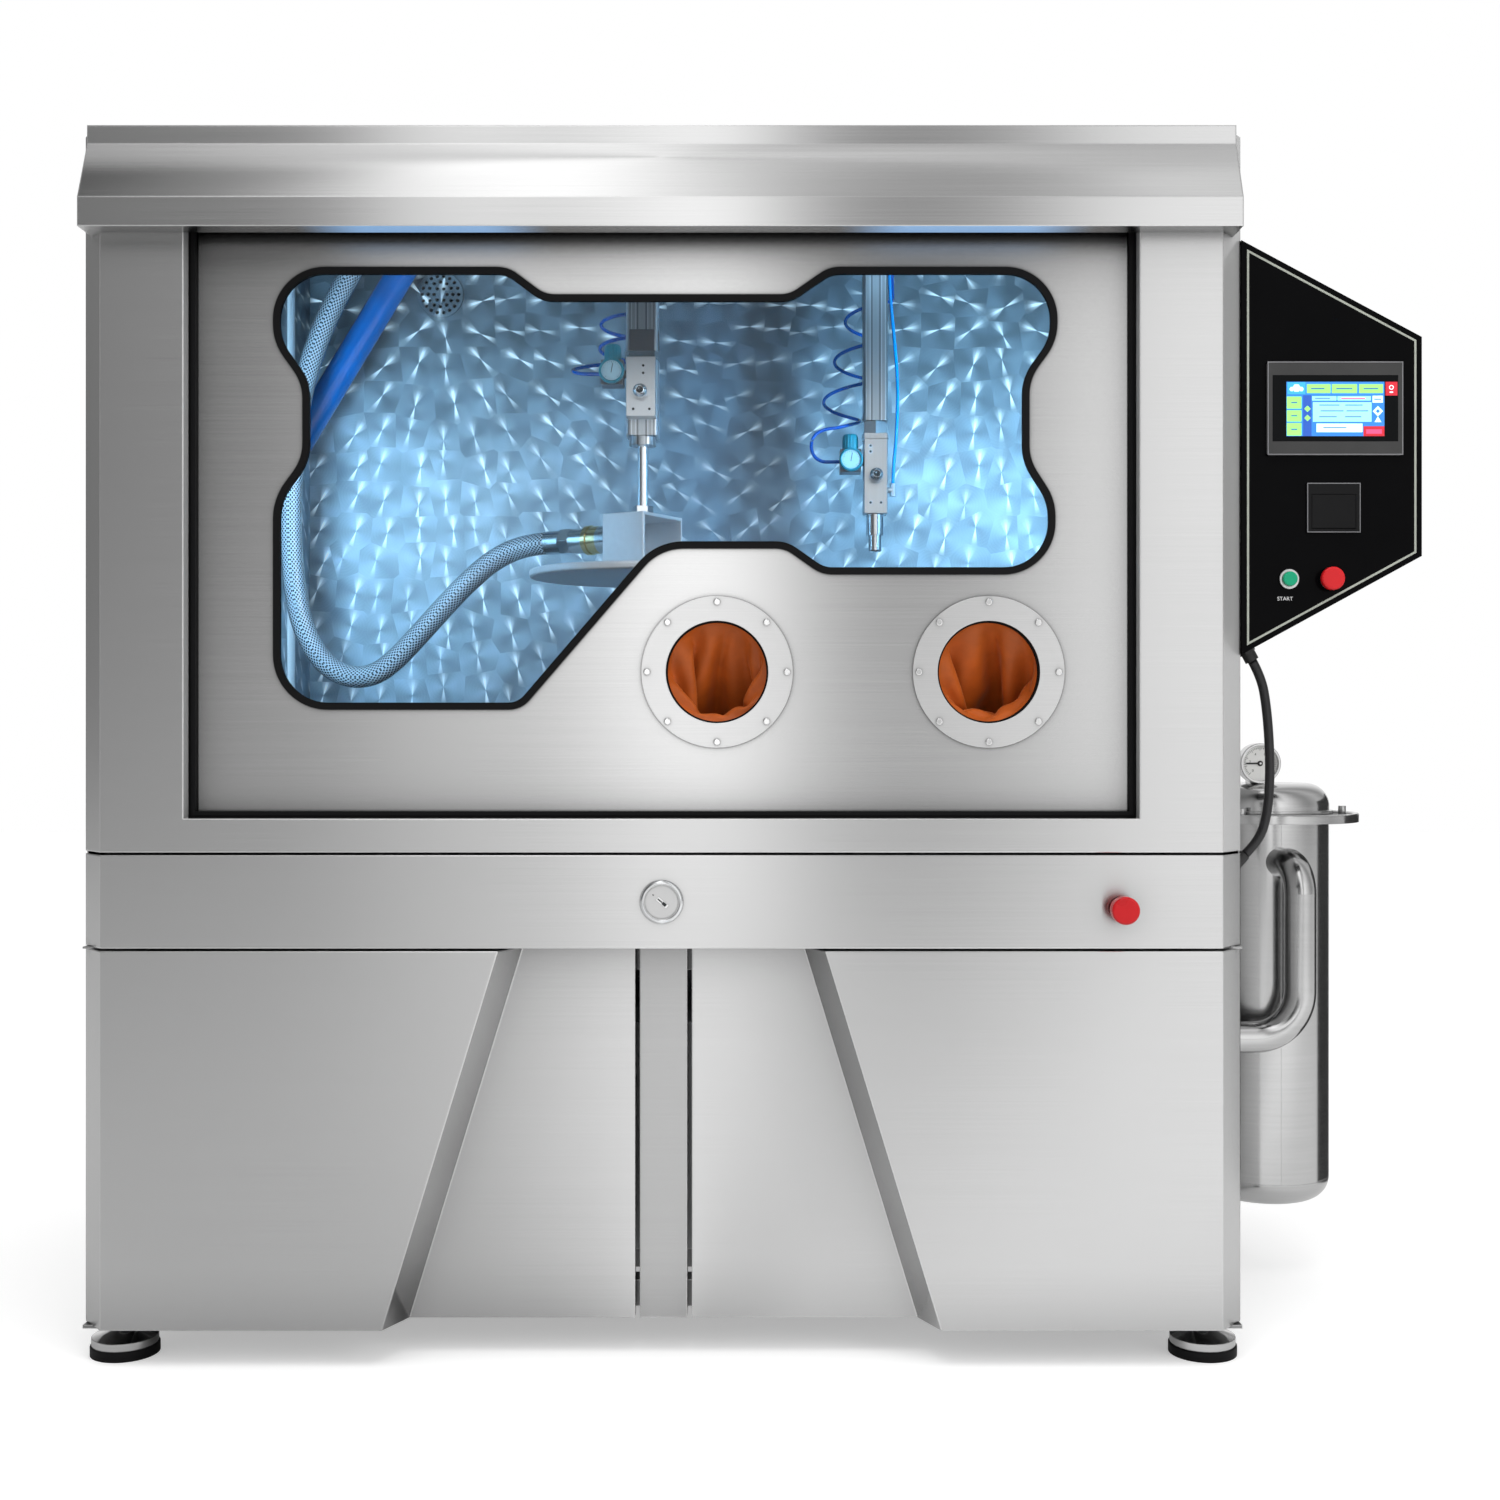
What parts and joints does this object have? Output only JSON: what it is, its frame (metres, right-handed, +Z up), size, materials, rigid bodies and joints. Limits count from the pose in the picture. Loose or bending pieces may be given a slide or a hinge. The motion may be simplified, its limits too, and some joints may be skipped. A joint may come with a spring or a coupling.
{
  "type": "filter cleaning machine",
  "caption": "Floor-standing stainless cabinet for cleaning exhaust filters, with a lifting window door, glove ports, lower doors, a drawer, a side control box and a canister.",
  "frame": {"origin": "on the floor, under the middle of the overall box", "axes": "+X to the right along the front, +Y to the rear, +Z up"},
  "size_m": [2.02, 0.94, 1.8],
  "materials": {
    "stainless_sheet": "brushed, horizontal grain",
    "frame_tube": "mill finish, welded",
    "chamber_sheet": "engine-turned stainless",
    "polished_steel": "polished stainless",
    "black_rubber": "matt moulded",
    "clear_glass": "clear, polished",
    "orange_rubber": "limp, creased",
    "anodised_aluminium": "satin anodised",
    "ground_rod": "ground and plated",
    "coupling_brass": "turned",
    "regulator_metal": "satin",
    "teal_plastic": "moulded, ribbed",
    "air_tube": "extruded polyurethane",
    "blue_tube": "extruded",
    "clear_tube": "clear, braid reinforced",
    "lamp_lens": "diffusing",
    "tank_steel": "mill finish",
    "pump_paint": "gloss",
    "box_paint": "satin black",
    "panel_face": "gloss black",
    "bezel_plastic": "fine texture",
    "screen_glass": "touch screen",
    "printer_plastic": "fine texture",
    "button_collar": "satin",
    "green_plastic": "moulded",
    "red_plastic": "moulded",
    "gland_plastic": "moulded",
    "cable_sheath": "extruded",
    "gauge_case": "polished",
    "needle_paint": "matt black"
  },
  "bodies": {
    "cabinet": {"cabinet_frame": "frame_tube", "outer_panels": "stainless_sheet", "front_frame": "stainless_sheet", "hood": "stainless_sheet", "door_seal": "black_rubber", "door_guides": "frame_tube", "lift_cylinders": "anodised_aluminium", "chamber_back_wall": "chamber_sheet", "chamber_walls": "chamber_sheet", "chamber_floor": "chamber_sheet", "light_bars": "lamp_lens", "air_vent": "polished_steel", "air_cylinders": "anodised_aluminium", "regulators": "regulator_metal", "air_lines": "air_tube", "blue_hose": "blue_tube", "process_hose": "clear_tube", "water_tank": "tank_steel", "pump_set": "pump_paint", "centre_post": "stainless_sheet", "foot_pads": "black_rubber", "foot_stems": "polished_steel", "control_box": "box_paint", "control_face": "panel_face", "hmi_bezel": "bezel_plastic", "hmi_screen": "screen_glass", "printer_body": "printer_plastic", "button_bezels": "button_collar", "cable_glands": "gland_plastic", "control_cable": "cable_sheath", "canister_body": "polished_steel", "canister_pipe": "polished_steel", "door_pivots": "frame_tube", "drawer_slides": "frame_tube"},
    "window_door": {"door_panel": "stainless_sheet", "window_seal": "black_rubber", "window_glass": "clear_glass", "glove_rings": "polished_steel", "ring_screws": "polished_steel", "gloves": "orange_rubber", "lift_rods": "ground_rod"},
    "left_lower_door": {"left_door": "stainless_sheet"},
    "right_lower_door": {"right_door": "stainless_sheet"},
    "drawer": {"drawer_front": "stainless_sheet", "drawer_box": "frame_tube", "drawer_hardware": "polished_steel"},
    "drawer_lock": {"lock_core": "polished_steel"},
    "emergency_stop": {"estop_button": "red_plastic"},
    "start": {"start_button": "green_plastic"},
    "stop": {"stop_button": "red_plastic"},
    "printer_door": {"printer_lid": "printer_plastic"},
    "canister_cover": {"canister_lid": "polished_steel", "canister_gauge": "gauge_case"},
    "pressure_needle": {"gauge_needle": "needle_paint"},
    "press_head": {"press_rod": "ground_rod", "press_fixture": "anodised_aluminium", "hose_coupling": "coupling_brass"},
    "spray_head": {"spray_nozzle": "ground_rod"},
    "press_knob": {"press_regulator_knob": "teal_plastic"},
    "spray_knob": {"spray_regulator_knob": "teal_plastic"}
  },
  "joints": [
    {"name": "window_door_lift", "type": "slide", "parent": "cabinet", "child": "window_door", "axis": [0, 0, 1], "range_m": [0, 0.62]},
    {"name": "left_door_hinge", "type": "hinge", "parent": "cabinet", "child": "left_lower_door", "pos_m": [-0.996, -0.39, 0.328], "axis": [0, 0, -1], "range_deg": [0, 100]},
    {"name": "right_door_hinge", "type": "hinge", "parent": "cabinet", "child": "right_lower_door", "pos_m": [0.676, -0.39, 0.328], "axis": [0, 0, 1], "range_deg": [0, 100]},
    {"name": "drawer_slide", "type": "slide", "parent": "cabinet", "child": "drawer", "axis": [0, -1, 0], "range_m": [0, 0.4]},
    {"name": "lock_turn", "type": "hinge", "parent": "drawer", "child": "drawer_lock", "pos_m": [-0.16, -0.42, 0.6745], "axis": [0, 1, 0], "range_deg": [0, 90]},
    {"name": "estop_press", "type": "slide", "parent": "drawer", "child": "emergency_stop", "axis": [0, 1, 0], "range_m": [0, 0.005], "stiffness_N_per_m": 1500},
    {"name": "start_press", "type": "slide", "parent": "cabinet", "child": "start", "axis": [0, 1, 0], "range_m": [0, 0.003], "stiffness_N_per_m": 800},
    {"name": "stop_press", "type": "slide", "parent": "cabinet", "child": "stop", "axis": [0, 1, 0], "range_m": [0, 0.005], "stiffness_N_per_m": 800},
    {"name": "printer_lid_hinge", "type": "hinge", "parent": "cabinet", "child": "printer_door", "pos_m": [0.8245, -0.392, 1.22075], "axis": [1, 0, 0], "range_deg": [0, 90]},
    {"name": "canister_cover_lift", "type": "slide", "parent": "cabinet", "child": "canister_cover", "axis": [0, 0, 1], "range_m": [0, 0.15]},
    {"name": "needle_turn", "type": "hinge", "parent": "canister_cover", "child": "pressure_needle", "pos_m": [0.829, 0.0025, 0.868], "axis": [0, 1, 0], "range_deg": [0, 270]},
    {"name": "press_slide", "type": "slide", "parent": "cabinet", "child": "press_head", "axis": [0, 0, 1], "range_m": [-0.15, 0.09], "deforming": ["process_hose"]},
    {"name": "spray_slide", "type": "slide", "parent": "cabinet", "child": "spray_head", "axis": [0, 0, -1], "range_m": [0, 0.27]},
    {"name": "press_knob_turn", "type": "hinge", "parent": "cabinet", "child": "press_knob", "pos_m": [-0.254, -0.121, 1.534], "axis": [0, 0, 1], "range_deg": [-160, 160]},
    {"name": "spray_knob_turn", "type": "hinge", "parent": "cabinet", "child": "spray_knob", "pos_m": [0.142, 0.09, 1.424], "axis": [0, 0, 1], "range_deg": [-160, 160]}
  ]
}
